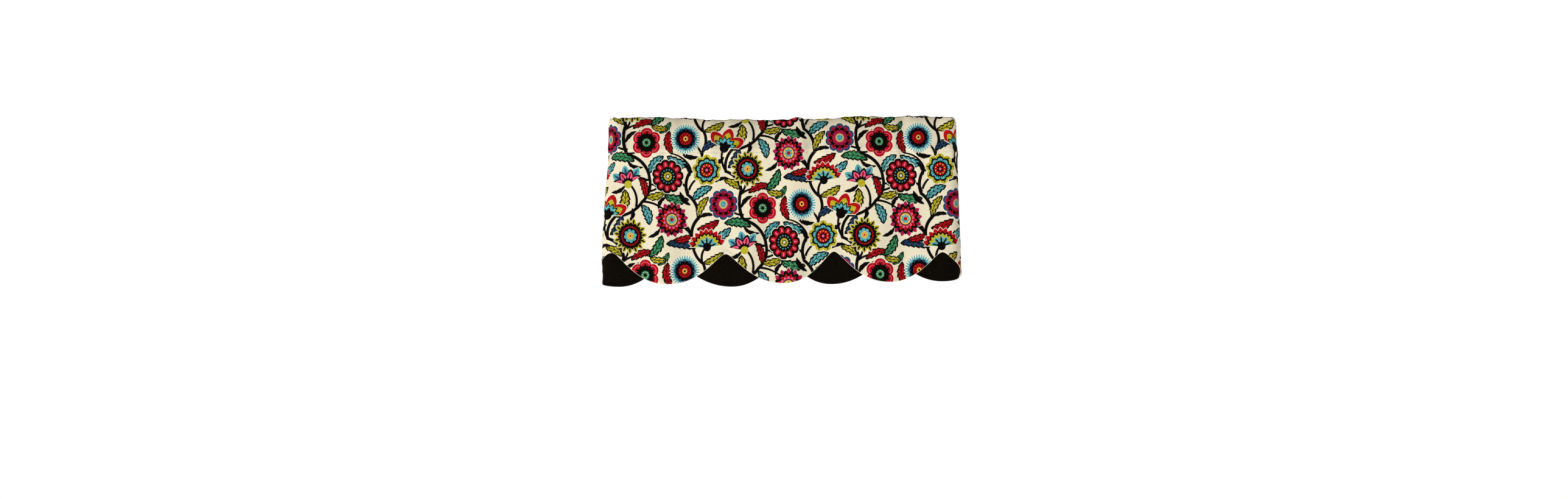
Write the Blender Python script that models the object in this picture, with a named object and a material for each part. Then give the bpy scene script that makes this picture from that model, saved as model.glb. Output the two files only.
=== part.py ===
"""Scalloped window valance: a face panel with a rod pocket over an under panel, both as hung cloth.

Metres, +Z up, the front faces -Y. The origin is at mid width on the crest of the rod pocket, where a
rod would carry it. Both panels follow one path in plan: back from the wall along the left return, round
a corner, across the front, round the other corner and back to the wall. A place on a panel is given by
its distance along that path from the middle of the front, its height, and how far out it stands.
"""
import bpy
import numpy as np

MM = 0.001

# Driving sizes
FRONT_WIDTH = 0.905
RETURN_DEPTH = 0.085
CORNER_RADIUS = 0.025
CLOTH = 0.0015
FACE_Y = -0.012
SEAM_Z = -0.0886
SEAM_TILT = 0.0044
LOWEST_Z = -0.433
LAYER_GAP = 0.0007
COLUMN_STEP = 0.0108

CORNER_AT = FRONT_WIDTH / 2 - CORNER_RADIUS
CORNER_RUN = CORNER_RADIUS * np.pi / 2
CORNER_END = CORNER_AT + CORNER_RUN
RETURN_END = CORNER_END + RETURN_DEPTH - CORNER_RADIUS

# Lower hems in millimetres: at, distance along the path; z, height. Tips and bottoms of the scallops
# take turns, and the under panel's bottoms hang below the face panel's tips.
HEM_COLUMNS = ("at", "z")
FACE_HEM = (
    (-572, -420),
    (-431, -347),
    (-291, -427),
    (-142, -350),
    (6, -424),
    (133, -343.5),
    (272, -421),
    (409, -345),
    (550, -416),
)
UNDER_HEM = (
    (-565, -360),
    (-414, -433),
    (-285, -358),
    (-126, -432.5),
    (5, -355),
    (126, -426),
    (275, -350),
    (409, -419),
    (548, -345),
)
SCALLOP_POWER = 2.15
TIP_ROUNDING = 0.2

# The uneven top edge in millimetres: at, distance along the path; rise above the nominal crest
TOP_COLUMNS = ("at", "rise")
TOP_EDGE = (
    (-527, 1),
    (-446, 0.8),
    (-434, 4),
    (-422, -0.8),
    (-400, 3.3),
    (-355, 4.2),
    (-311, 5.4),
    (-285, 1.6),
    (-248, 2.8),
    (-223, 1.4),
    (-206, -1.5),
    (-185, -2.8),
    (-84, -1.5),
    (-47, -3),
    (16, -1.2),
    (41, 4.2),
    (62, 0),
    (129, 0.2),
    (180, 6.2),
    (242, 6.1),
    (280, 4.5),
    (330, 8),
    (343, 6.2),
    (368, 7.8),
    (395, 4.1),
    (445, 1.8),
    (527, 1),
)

# Soft vertical folds in millimetres: at, crest along the path; spread, half width; seam and hem, how
# far out the crest stands at the pocket seam and at the lower hem
FOLD_COLUMNS = ("at", "spread", "seam", "hem")
FOLDS = (
    (-495, 24, 2, 8),
    (-380, 48, 4, 8),
    (-300, 38, 5, 16),
    (-150, 50, 6, 6),
    (-82, 36, 5, 13),
    (26, 34, 4, 15),
    (130, 46, 5, 5),
    (190, 50, 5, 11),
    (252, 40, 4, 14),
    (350, 38, 6, 4),
    (405, 34, 5, 6),
    (492, 24, 2, 9),
)

# Puckers of the gathered pocket in millimetres: height, length along the path; phase in turns
PUCKER_COLUMNS = ("height", "length", "phase")
PUCKERS = (
    (1.5, 47, 0.10),
    (1.0, 59, 0.35),
    (1.2, 78, 0.65),
)
PUCKER_FADE = 0.35

# How the corners and returns hang, in millimetres: side, left or right; how far out they stand at the
# pocket, at its seam and at the lower hem
SIDE_COLUMNS = ("side", "pocket", "seam", "hem")
SIDES = (
    (-1, -3, -8, 7.5),
    (1, 0, 0, 4),
)
SIDE_FROM = 0.375
SIDE_FULL = 0.44

# The pocket from the seam up the front, over the crest and down to the end of the turned-back flap, in
# millimetres: z, height; back, how far behind the face; side, the same at the corners and returns; top,
# share of the uneven edge; gather, share of the folds and puckers
POCKET_COLUMNS = ("z", "back", "side", "top", "gather")
POCKET = (
    (-72, 1.2, 2.0, 0.2, 1.0),
    (-50, 3.6, 2.0, 0.4, 1.0),
    (-27, 8.8, 1.8, 0.7, 0.9),
    (-9, 15.0, 2.6, 1.0, 0.8),
    (0, 20.5, 6.5, 1.0, 0.7),
    (-6, 24.5, 13.0, 1.0, 0.6),
    (-27, 25.0, 17.0, 0.7, 0.6),
    (-54, 18.5, 15.0, 0.4, 0.7),
    (-77, 6.5, 6.5, 0.1, 0.9),
)
FLAP_BACK = CLOTH + 0.0008
FLAP_TURN = 0.0055

# Rows below the seam: share of the drop from the seam to the hem
FACE_ROWS = (0.22, 0.5, 0.78, 1.0)
# Rows of the under panel: share of its drop, and how far behind the face it hangs in millimetres
UNDER_COLUMNS = ("drop", "back")
UNDER_ROWS = (
    (0.0, 2.5),
    (0.1, 2.9),
    (0.4, 3.2),
    (0.72, 3.5),
    (1.0, 3.6),
)

PRINTED_CLOTH = (0.80, 0.71, 0.53)
BLACK_CLOTH = (0.012, 0.010, 0.010)


def rows(columns, table):
    """Each row of a table as a dictionary from column name to number."""
    return [dict(zip(columns, row)) for row in table]


def column(columns, table, name):
    """One column of a table in millimetres, as an array in metres."""
    return np.array([row[name] for row in rows(columns, table)]) * MM


def path_point(at, out):
    """The plan position at a distance along the path, moved outwards by out: x and y arrays."""
    side = np.sign(at)
    far = np.abs(at)
    turn = np.clip((far - CORNER_AT) / CORNER_RADIUS, 0, np.pi / 2)
    along = np.minimum(far, CORNER_AT)
    beyond = np.maximum(far - CORNER_END, 0)
    x = side * (along + (CORNER_RADIUS + out) * np.sin(turn))
    y = FACE_Y + CORNER_RADIUS - (CORNER_RADIUS + out) * np.cos(turn) + beyond
    return x, y


def path_columns():
    """Places along the path for the mesh columns: one at each turn of the face hem and corner end."""
    keys = {-RETURN_END, -CORNER_END, -CORNER_AT, CORNER_AT, CORNER_END, RETURN_END}
    keys |= {at for at in column(HEM_COLUMNS, FACE_HEM, "at") if abs(at) < RETURN_END}
    keys = sorted(keys)
    places = [keys[0]]
    for start, end in zip(keys, keys[1:]):
        steps = int(np.ceil((end - start) / COLUMN_STEP))
        places.extend(np.linspace(start, end, steps + 1)[1:])
    return np.array(places)


def seam_z(at):
    """Height of the pocket's stitch line, which runs very slightly uphill."""
    return SEAM_Z + SEAM_TILT * at


def top_rise(at):
    """Height of the top edge above the nominal crest, interpolated along the edge."""
    places = column(TOP_COLUMNS, TOP_EDGE, "at")
    return np.interp(at, places, column(TOP_COLUMNS, TOP_EDGE, "rise"))


def hem_z(at, hem):
    """Height of a scalloped hem: from each tip to the next bottom it falls as
    1 - (1 - t) ** power, where t is the share of the way, with the tip rounded off."""
    places = column(HEM_COLUMNS, hem, "at")
    heights = column(HEM_COLUMNS, hem, "z")
    first = np.clip(np.searchsorted(places, at, side="right") - 1, 0, len(places) - 2)
    share = (at - places[first]) / (places[first + 1] - places[first])
    starts_at_tip = heights[first] > heights[first + 1]
    tip = np.maximum(heights[first], heights[first + 1])
    bottom = np.minimum(heights[first], heights[first + 1])
    from_tip = np.where(starts_at_tip, share, 1 - share)
    fall = 1 - (1 - from_tip) ** SCALLOP_POWER
    rounded = np.sqrt(fall**2 + TIP_ROUNDING**2) - TIP_ROUNDING
    return tip + (bottom - tip) * rounded / (np.sqrt(1 + TIP_ROUNDING**2) - TIP_ROUNDING)


def fold_out(at, depth):
    """How far out the cloth stands at a share of the drop below the seam: folds plus fading puckers."""
    out = np.zeros_like(at)
    for fold in rows(FOLD_COLUMNS, FOLDS):
        height = fold["seam"] + (fold["hem"] - fold["seam"]) * depth
        out += height * np.exp(-(((at / MM - fold["at"]) / fold["spread"]) ** 2))
    fade = np.clip(1 - depth / PUCKER_FADE, 0, 1) ** 1.5
    for pucker in rows(PUCKER_COLUMNS, PUCKERS):
        turns = at / MM / pucker["length"] + pucker["phase"]
        out += pucker["height"] * np.sin(2 * np.pi * turns) * fade
    return out * MM


def side_share(at):
    """How much a place belongs to a corner or return: an S-shaped step from 0 on the front to 1."""
    share = np.clip((np.abs(at) - SIDE_FROM) / (SIDE_FULL - SIDE_FROM), 0, 1)
    return share * share * (3 - 2 * share)


def side_out(at, pocket, depth):
    """How far out the corners and returns stand: in the pocket its own value, and below the seam from
    the seam's value to the hem's with 1 - (1 - depth) ** 1.8."""
    out = np.zeros_like(at)
    for row in rows(SIDE_COLUMNS, SIDES):
        held = row["pocket"] if pocket else row["seam"]
        held = held + (row["hem"] - row["seam"]) * (1 - (1 - depth) ** 1.8)
        out += held * (np.sign(at) == row["side"])
    return out * side_share(at) * MM


def hanging_row(at, z, back):
    """Points of one row below the seam, hanging a distance behind the face's own surface."""
    depth = np.clip((seam_z(at) - z) / (SEAM_Z - LOWEST_Z), 0, 1)
    x, y = path_point(at, fold_out(at, depth) + side_out(at, False, depth) - back)
    return np.stack([x, y, z], axis=1)


def pocket_row(at, row):
    """Points of one row of the pocket, from its line in the table."""
    z = row["z"] * MM + row["top"] * top_rise(at) + (1 - row["top"]) * SEAM_TILT * at
    level = np.zeros_like(at)
    back = (row["back"] + (row["side"] - row["back"]) * side_share(at)) * MM
    out = row["gather"] * fold_out(at, level) + side_out(at, True, level)
    x, y = path_point(at, out - back)
    return np.stack([x, y, z], axis=1)


def sheet(name, grid, material):
    """A sheet of cloth as one object: a grid of points, thickened evenly to both sides."""
    count_down, count_along = grid.shape[:2]
    index = np.arange(count_down * count_along).reshape(count_down, count_along)
    corners = [index[:-1, :-1], index[:-1, 1:], index[1:, 1:], index[1:, :-1]]
    faces = np.stack([c.ravel() for c in corners], axis=1)
    mesh = bpy.data.meshes.new(name)
    mesh.from_pydata(grid.reshape(-1, 3).tolist(), [], faces.tolist())
    mesh.materials.append(material)
    mesh.shade_smooth()
    piece = bpy.data.objects.new(name, mesh)
    bpy.context.scene.collection.objects.link(piece)
    thicken = piece.modifiers.new("thickness", "SOLIDIFY")
    thicken.thickness = CLOTH
    thicken.offset = 0
    thicken.use_even_offset = True
    return piece


def cloth_material(name, color, roughness):
    material = bpy.data.materials.new(name)
    material.use_nodes = True
    shader = material.node_tree.nodes["Principled BSDF"]
    shader.inputs["Base Color"].default_value = (*color, 1)
    shader.inputs["Roughness"].default_value = roughness
    shader.inputs["Metallic"].default_value = 0
    return material


def face_panel(at):
    """The printed cloth: from its hem up to the seam, up and over the pocket, and back down its flap."""
    seam = seam_z(at)
    hem = hem_z(at, FACE_HEM)
    flap = np.full_like(at, FLAP_BACK)
    grid = [hanging_row(at, seam + (hem - seam) * share, 0) for share in reversed(FACE_ROWS)]
    grid.append(hanging_row(at, seam, 0))
    grid.extend(pocket_row(at, row) for row in rows(POCKET_COLUMNS, POCKET))
    grid.append(hanging_row(at, seam, flap))
    grid.append(hanging_row(at, seam - FLAP_TURN, flap))
    return sheet("face_panel", np.array(grid), cloth_material("printed_cloth", PRINTED_CLOTH, 0.85))


def under_panel(at):
    """The black cloth: its upper edge meets the flap below the seam, and it hangs behind the face."""
    top = seam_z(at) - FLAP_TURN - LAYER_GAP
    hem = hem_z(at, UNDER_HEM)
    grid = [
        hanging_row(at, top + (hem - top) * row["drop"], row["back"] * MM)
        for row in reversed(rows(UNDER_COLUMNS, UNDER_ROWS))
    ]
    return sheet("under_panel", np.array(grid), cloth_material("black_cloth", BLACK_CLOTH, 0.9))


def main():
    for old in list(bpy.data.objects):
        bpy.data.objects.remove(old)
    at = path_columns()
    face_panel(at)
    under_panel(at)


main()
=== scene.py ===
"""Scalloped window valance: printed cloth with a rod pocket over a plain black layer, with its stitching.

Metres, +Z up, the front faces -Y. The cloth hangs round one path in plan: from the wall along the left
return, round a corner, across the front, round the other corner and back to the wall. A place on the
cloth is its distance along that path from the middle of the front, and how far down or up it lies.
"""
import math
import bpy
import numpy as np
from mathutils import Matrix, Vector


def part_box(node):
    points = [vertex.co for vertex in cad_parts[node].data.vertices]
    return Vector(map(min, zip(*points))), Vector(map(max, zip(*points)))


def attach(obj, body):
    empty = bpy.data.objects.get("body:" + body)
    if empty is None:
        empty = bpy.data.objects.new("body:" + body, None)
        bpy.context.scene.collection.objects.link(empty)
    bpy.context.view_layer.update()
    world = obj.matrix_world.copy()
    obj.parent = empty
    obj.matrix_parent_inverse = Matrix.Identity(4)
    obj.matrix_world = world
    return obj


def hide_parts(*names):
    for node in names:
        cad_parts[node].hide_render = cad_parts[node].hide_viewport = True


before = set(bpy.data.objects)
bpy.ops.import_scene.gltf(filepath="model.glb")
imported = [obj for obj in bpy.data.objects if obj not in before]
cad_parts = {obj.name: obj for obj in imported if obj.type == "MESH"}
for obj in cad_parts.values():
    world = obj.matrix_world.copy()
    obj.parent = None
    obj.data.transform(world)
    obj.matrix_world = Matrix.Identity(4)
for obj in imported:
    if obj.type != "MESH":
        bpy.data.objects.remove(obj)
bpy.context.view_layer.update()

bl_info = {
    "name": "Scalloped window valance",
    "version": (1, 0, 0),
    "blender": (4, 5, 0),
    "location": "3D View > Sidebar > Valance",
    "description": "Printed cloth with a rod pocket over a black under layer, with stitching and soft light",
    "category": "Object",
}

MM = 0.001

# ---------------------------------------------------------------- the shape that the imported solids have
FRONT_WIDTH = 0.905
RETURN_DEPTH = 0.085
CORNER_RADIUS = 0.025
FACE_Y = -0.012
SEAM_Z = -0.0886
SEAM_TILT = 0.0044
LOWEST_Z = -0.433
CORNER_AT = FRONT_WIDTH / 2 - CORNER_RADIUS
CORNER_END = CORNER_AT + CORNER_RADIUS * math.pi / 2
RETURN_END = CORNER_END + RETURN_DEPTH - CORNER_RADIUS

# Lower hems in millimetres: at, distance along the path; z, height
HEM_COLUMNS = ("at", "z")
FACE_HEM = (
    (-572, -420), (-431, -347), (-291, -427), (-142, -350), (6, -424), (133, -343.5), (272, -421),
    (409, -345), (550, -416),
)
UNDER_HEM = (
    (-565, -360), (-414, -433), (-285, -358), (-126, -432.5), (5, -355), (126, -426), (275, -350),
    (409, -419), (548, -345),
)
SCALLOP_POWER = 2.15
TIP_ROUNDING = 0.2

# The uneven top edge in millimetres: at, distance along the path; rise above the nominal crest
TOP_COLUMNS = ("at", "rise")
TOP_EDGE = (
    (-527, 1), (-446, 0.8), (-434, 4), (-422, -0.8), (-400, 3.3), (-355, 4.2), (-311, 5.4),
    (-285, 1.6), (-248, 2.8), (-223, 1.4), (-206, -1.5), (-185, -2.8), (-84, -1.5), (-47, -3),
    (16, -1.2), (41, 4.2), (62, 0), (129, 0.2), (180, 6.2), (242, 6.1), (280, 4.5), (330, 8),
    (343, 6.2), (368, 7.8), (395, 4.1), (445, 1.8), (527, 1),
)

# Soft vertical folds in millimetres: at, crest along the path; spread, half width; seam and hem, how
# far out the crest stands at the pocket seam and at the lower hem
FOLD_COLUMNS = ("at", "spread", "seam", "hem")
FOLDS = (
    (-495, 24, 2, 8), (-380, 48, 4, 8), (-300, 38, 5, 16), (-150, 50, 6, 6), (-82, 36, 5, 13),
    (26, 34, 4, 15), (130, 46, 5, 5), (190, 50, 5, 11), (252, 40, 4, 14), (350, 38, 6, 4),
    (405, 34, 5, 6), (492, 24, 2, 9),
)

# Puckers of the gathered pocket in millimetres: height; length along the path; phase in turns. They
# fade out at the share PUCKER_FADE of the drop.
RIPPLE_COLUMNS = ("height", "length", "phase")
PUCKERS = (
    (1.5, 47, 0.10),
    (1.0, 59, 0.35),
    (1.2, 78, 0.65),
)
PUCKER_FADE = 0.35

# How the corners and returns hang, in millimetres: side, left or right; how far out they stand at the
# pocket, at its seam and at the lower hem
SIDE_COLUMNS = ("side", "pocket", "seam", "hem")
SIDES = (
    (-1, -3, -8, 7.5),
    (1, 0, 0, 4),
)
SIDE_FROM = 0.375
SIDE_FULL = 0.44

# The pocket from the seam up the front, over the crest and down its flap, in millimetres: z, height;
# back, how far behind the face; side, the same at the corners and returns; top, share of the uneven
# edge; gather, share of the folds; held, 1 in the pocket and 0 where the seam holds the cloth
POCKET = (
    (-88.6, 0, 0, 0, 1.0, 0),
    (-72, 1.2, 2.0, 0.2, 1.0, 1),
    (-50, 3.6, 2.0, 0.4, 1.0, 1),
    (-27, 8.8, 1.8, 0.7, 0.9, 1),
    (-9, 15.0, 2.6, 1.0, 0.8, 1),
    (0, 20.5, 6.5, 1.0, 0.7, 1),
    (-6, 24.5, 13.0, 1.0, 0.6, 1),
    (-27, 25.0, 17.0, 0.7, 0.6, 1),
    (-54, 18.5, 15.0, 0.4, 0.7, 1),
    (-77, 6.5, 6.5, 0.1, 0.9, 1),
    (-88.6, 2.3, 2.3, 0, 1.0, 0),
    (-94.1, 2.3, 2.3, 0, 1.0, 0),
)
BACK_SEAM = 10  # the row at the back stitch line
# Where the pocket's finer shape changes over, in metres: how far behind the face it follows the seam's
# height, the height it takes beyond, the distance along the profile up to which it is the front's and
# over which that fades, how far along the flap's own is shifted, and the share of it that shows
NEAR_FACE = 0.004
FAR_UP = 0.05
FRONT_FULL = 0.05
FRONT_FADE = 0.04
FLAP_SHIFT = 0.21
FLAP_RELIEF = 0.6

# ---------------------------------------------------------------- finer shape of the cloth
# Small tucks drawn in by the seam, in millimetres: at; spread; depth; reach up and down from the seam.
# Their spread doubles at the distance that TUCK_WIDENS gives.
TUCK_COLUMNS = ("at", "spread", "depth", "reach")
TUCK_WIDENS = 60
TUCKS = (
    (-452, 8, 1.1, 26), (-366, 6, 0.8, 22), (-298, 7, 1.3, 34), (-234, 6, 1.2, 30),
    (-203, 8, 1.4, 38), (-146, 5, 0.8, 20), (-88, 7, 1.3, 34), (-31, 6, 0.7, 22), (26, 7, 1.3, 34),
    (70, 5, 0.8, 20), (101, 6, 0.9, 26), (148, 7, 1.4, 36), (212, 6, 0.8, 22), (266, 7, 1.3, 34),
    (306, 7, 1.3, 32), (358, 8, 1.4, 36), (402, 5, 0.8, 20), (449, 8, 1.1, 26),
)
# Long soft creases between the folds, in millimetres: at; spread; depth, negative for a ridge; slant
# along over the drop. They are full from the share CREASE_FULL of the drop.
CREASE_COLUMNS = ("at", "spread", "depth", "slant")
CREASE_FULL = 0.25
CREASES = (
    (-452, 16, -2.6, -6), (-352, 24, 1.2, -8), (-222, 24, 1.8, 8), (-140, 22, 0.8, 6),
    (-44, 19, 1.4, -6), (78, 22, 1.8, -4), (150, 20, 0.5, 6), (212, 20, -0.6, -6),
    (316, 20, 1.4, 4), (366, 16, 0.8, 4),
)
# Small waves of the cloth in millimetres: height; length along; length down; phase in turns
WAVE_COLUMNS = ("height", "along", "down", "phase")
WAVES = (
    (0.50, 131, 410, 0.15),
    (0.36, 83, -290, 0.60),
    (0.24, 57, 190, 0.35),
    (0.14, 37, -140, 0.80),
    (0.10, 24, 110, 0.05),
)
# Fine gathers along the seam, and the small waves of the crest: columns as for the puckers
GATHERS = (
    (0.34, 27, 0.20),
    (0.26, 19, 0.55),
    (0.20, 13.5, 0.90),
    (0.12, 9.3, 0.30),
)
GATHER_REACH = 0.022
# The seam in metres: depth and reach of the groove of its stitch line; height, place above the seam and
# reach of the pocket's swell; height and reach of the low ridge in which the seam stands
SEAM_GROOVE = 0.0009
SEAM_GROOVE_REACH = 0.0024
SEAM_SWELL = 0.0008
SEAM_SWELL_AT = 0.011
SEAM_SWELL_REACH = 0.007
SEAM_RIDGE = 0.0022
SEAM_RIDGE_REACH = 0.018
CREST_WAVES = (
    (0.55, 41, 0.40),
    (0.40, 23, 0.10),
    (0.22, 14, 0.75),
)

# How the pieces are cut into columns and rows
FACE_COLUMNS = 312
UNDER_COLUMNS = 250
FACE_ROWS = 60
UNDER_ROWS = 64
POCKET_STEP = 0.0034
SEAM_ROWS = (0.012, 0.008, 0.005, 0.003, 0.0015)
HEM_ROWS = (0, 0.0015, 0.005, 0.0088, 0.0100, 0.0125)
FLAP_ROWS = (0.002, 0.004)
# How far the black layer hangs behind the face in millimetres, by the share of its drop
UNDER_BACK = ((0.0, 1.15), (0.016, 1.2), (0.035, 1.6), (0.1, 2.9), (0.4, 3.2), (0.72, 3.5), (1.0, 3.6))
UNDER_TOP = 0.0015
# Depth of the turned lower hem and side hems, and the width over which a hem's edge thins out
HEM_DEPTH = 0.0088
SIDE_HEM_DEPTH = 0.009
HEM_STEP = 0.0012


def linear(red, green, blue):
    """A screen colour from 0 to 255 as linear light."""
    return tuple(((c / 255 + 0.055) / 1.055) ** 2.4 for c in (red, green, blue))


# ---------------------------------------------------------------- settings
def setting(name, description, default, low, high, unit="NONE"):
    """A number for the sidebar with its lowest and highest value."""
    return bpy.props.FloatProperty(
        name=name, description=description, default=default, min=low, max=high, unit=unit
    )


def size_setting(name, description, default, low, high):
    """A length in metres for the sidebar."""
    return setting(name, description, default, low, high, "LENGTH")


def tint_setting(name, description, red, green, blue):
    """A colour for the sidebar whose default is given as a screen colour."""
    tint = linear(red, green, blue)
    return bpy.props.FloatVectorProperty(
        name=name, description=description, default=tint, min=0, max=1, size=3, subtype="COLOR"
    )


def turn_setting(name, description, default):
    """An angle for the sidebar."""
    return bpy.props.FloatProperty(
        name=name, description=description, default=default, subtype="ANGLE"
    )


class ClothSettings(bpy.types.PropertyGroup):
    """Thickness of the cloth, its hems, weave and stitching."""

    thickness: size_setting(
        "Cloth thickness", "Thickness of one layer of the printed cloth", 0.0008, 0.0003, 0.0015
    )
    hem_thickness: size_setting(
        "Hem thickness", "Thickness where the cloth is turned and pressed at its edges", 0.0015, 0.0005, 0.003
    )
    black_thickness: size_setting(
        "Black cloth thickness", "Thickness of one layer of the black cloth", 0.0006, 0.0003, 0.0015
    )
    thread_pitch: size_setting(
        "Thread pitch", "Distance between neighbouring threads of the weave", 0.00072, 0.0003, 0.003
    )
    stitch_length: size_setting(
        "Stitch length", "Length of one stitch with the gap after it", 0.0033, 0.002, 0.006
    )
    sewing_thread: size_setting("Sewing thread", "Diameter of the sewing thread", 0.00045, 0.0002, 0.0015)


class PrintSettings(bpy.types.PropertyGroup):
    """Colours of the cloth, its print and its thread, and the size of the print's repeat."""

    cream: tint_setting("Cream", "Ground of the printed cloth", 240, 229, 199)
    ivory: tint_setting("Ivory", "Pale line round the printed shapes", 248, 241, 220)
    ink: tint_setting("Black ink", "Stems and outlines of the print", 8, 5, 4)
    red: tint_setting("Red", "Red of the print", 180, 6, 18)
    magenta: tint_setting("Magenta", "Magenta of the print", 170, 16, 68)
    pink: tint_setting("Pink", "Pink of the print", 232, 92, 132)
    turquoise: tint_setting("Turquoise", "Turquoise of the print", 76, 168, 174)
    mustard: tint_setting("Mustard", "Yellow green of the print", 188, 175, 24)
    amber: tint_setting("Amber", "Warm yellow of the print", 238, 190, 72)
    navy: tint_setting("Navy", "Dark blue of the print", 30, 64, 98)
    green: tint_setting("Green", "Green of the print", 48, 138, 88)
    reverse: tint_setting("Reverse", "Unprinted back of the cloth", 232, 223, 200)
    black: tint_setting("Black cloth", "The plain under layer", 8, 5, 2)
    thread: tint_setting("Sewing thread", "Thread of the pocket seam", 196, 186, 162)
    repeat_width: size_setting(
        "Repeat width",
        "Width of the print's repeat; neighbouring columns are half a height apart",
        0.300,
        0.1,
        0.6,
    )
    repeat_height: size_setting("Repeat height", "Height of the print's repeat", 0.340, 0.1, 0.6)


class StageSettings(bpy.types.PropertyGroup):
    """Camera, floor and light."""

    eye: bpy.props.FloatVectorProperty(
        name="Camera place",
        description="Where the camera stands",
        default=(0.0177, -2.6474, -0.482),
        subtype="TRANSLATION",
        unit="LENGTH",
    )
    pitch: turn_setting("Camera pitch", "How far the camera looks up", 0.0544)
    yaw: turn_setting("Camera yaw", "How far the camera is turned to the left", 0.0044)
    lens: setting("Lens", "Focal length of the camera in millimetres", 23.76, 10, 200)
    floor_z: size_setting("Floor height", "Height of the floor below the valance", -3.2, -20, -0.5)
    sky: setting("Surrounding light", "Brightness of the pale surroundings at eye level", 1.05, 0, 5)
    ceiling: setting(
        "Ceiling light", "Brightness straight above, as a share of the surrounding light", 0.1, 0, 1
    )
    floor_glow: setting(
        "Floor brightness", "Light that the pale floor gives back from the room around it", 0.85, 0, 5
    )
    key: setting("Key light", "Power of the soft light in front of the valance", 370.0, 0, 2000, "POWER")


# ---------------------------------------------------------------- helpers for tables
def rows(columns, table, plain=()):
    """Each row of a table as a dictionary from column name to value, with plain values for the columns
    that it leaves out."""
    return [{**dict(plain), **dict(zip(columns, row))} for row in table]


def column(columns, table, name):
    """One column of a table, as an array."""
    return np.array([row[name] for row in rows(columns, table)], float)


def s_step(share):
    """An S-shaped step 3t^2 - 2t^3 from 0 to 1, held level outside them."""
    share = np.clip(share, 0, 1)
    return share * share * (3 - 2 * share)


def bell(offset, spread):
    """A bell curve: 1 at no offset, and 1/e where the offset is the spread."""
    return np.exp(-((offset / spread) ** 2))


def ripples(at, table):
    """The sum in millimetres of a table's sine waves along the path."""
    total = 0
    for wave in rows(RIPPLE_COLUMNS, table):
        total = total + wave["height"] * np.sin(2 * np.pi * (at / MM / wave["length"] + wave["phase"]))
    return total


def pieces_before(at, places):
    """For each place the number of the last of the sorted places before it, but not the very last."""
    return np.clip(np.searchsorted(places, at, side="right") - 1, 0, len(places) - 2)


def eased(at, places, values):
    """Values between places, with an S-shaped step from each to the next."""
    first = pieces_before(at, places)
    step = s_step((at - places[first]) / (places[first + 1] - places[first]))
    return values[first] + (values[first + 1] - values[first]) * step


def smooth_curve(at, places, values):
    """A smooth curve through values at places. Each piece is the cubic whose end slopes are those of the
    chords between the neighbours on both sides."""
    slopes = np.gradient(values, places, axis=0)
    first = pieces_before(at, places)
    length = (places[first + 1] - places[first])[:, None]
    t = (at - places[first])[:, None] / length
    start = (1 + 2 * t) * (1 - t) ** 2 * values[first] + t * (1 - t) ** 2 * length * slopes[first]
    end = t * t * (3 - 2 * t) * values[first + 1] + t * t * (t - 1) * length * slopes[first + 1]
    return start + end


# ---------------------------------------------------------------- shape of the hanging cloth
def path_point(at, out):
    """Plan position at a distance along the path, moved outwards by out: straight across the front, a
    quarter circle of the corner radius at each end, and straight back along the returns."""
    side = np.sign(at)
    far = np.abs(at)
    turn = np.clip((far - CORNER_AT) / CORNER_RADIUS, 0, np.pi / 2)
    along = np.minimum(far, CORNER_AT)
    beyond = np.maximum(far - CORNER_END, 0)
    x = side * (along + (CORNER_RADIUS + out) * np.sin(turn))
    y = FACE_Y + CORNER_RADIUS - (CORNER_RADIUS + out) * np.cos(turn) + beyond
    return x, y


def seam_z(at):
    """Height of the pocket's stitch line, which runs very slightly uphill."""
    return SEAM_Z + SEAM_TILT * at


def hem_z(at, hem):
    """Height of a scalloped hem: from each tip to the next bottom it falls as 1 - (1 - t) ** power,
    where t is the share of the way, with the tip rounded off."""
    places = column(HEM_COLUMNS, hem, "at") * MM
    heights = column(HEM_COLUMNS, hem, "z") * MM
    first = pieces_before(at, places)
    share = (at - places[first]) / (places[first + 1] - places[first])
    starts_at_tip = heights[first] > heights[first + 1]
    tip = np.maximum(heights[first], heights[first + 1])
    bottom = np.minimum(heights[first], heights[first + 1])
    from_tip = np.where(starts_at_tip, share, 1 - share)
    fall = 1 - (1 - from_tip) ** SCALLOP_POWER
    rounded = np.sqrt(fall**2 + TIP_ROUNDING**2) - TIP_ROUNDING
    return tip + (bottom - tip) * rounded / (np.sqrt(1 + TIP_ROUNDING**2) - TIP_ROUNDING)


def top_rise(at):
    """Height of the top edge above the nominal crest: the uneven edge and its small waves."""
    places = column(TOP_COLUMNS, TOP_EDGE, "at") * MM
    rise = eased(at, places, column(TOP_COLUMNS, TOP_EDGE, "rise") * MM)
    return rise + ripples(at, CREST_WAVES) * MM


def fold_out(at, depth):
    """How far out the cloth stands at a share of the drop below the seam: bell-shaped folds that grow
    from the seam to the hem, and puckers as sine waves that fade below the seam."""
    out = np.zeros(np.broadcast(at, depth).shape)
    for fold in rows(FOLD_COLUMNS, FOLDS):
        height = fold["seam"] + (fold["hem"] - fold["seam"]) * depth
        out += height * bell(at / MM - fold["at"], fold["spread"])
    fade = np.clip(1 - depth / PUCKER_FADE, 0, 1) ** 1.5
    return (out + ripples(at, PUCKERS) * fade) * MM


def side_share(at):
    """How much a place belongs to a corner or return: an S-shaped step from 0 on the front to 1."""
    return s_step((np.abs(at) - SIDE_FROM) / (SIDE_FULL - SIDE_FROM))


def side_out(at, held, depth):
    """How far out the corners and returns stand. Below the seam that goes from the seam's value to the
    hem's with 1 - (1 - depth) ** 1.8, and in the pocket, by held, from the seam's to the pocket's."""
    out = 0
    for row in rows(SIDE_COLUMNS, SIDES):
        reach = row["seam"] + (row["pocket"] - row["seam"]) * held
        reach = reach + (row["hem"] - row["seam"]) * (1 - (1 - depth) ** 1.8)
        out = out + reach * (np.sign(at) == row["side"])
    return out * side_share(at) * MM


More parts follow.
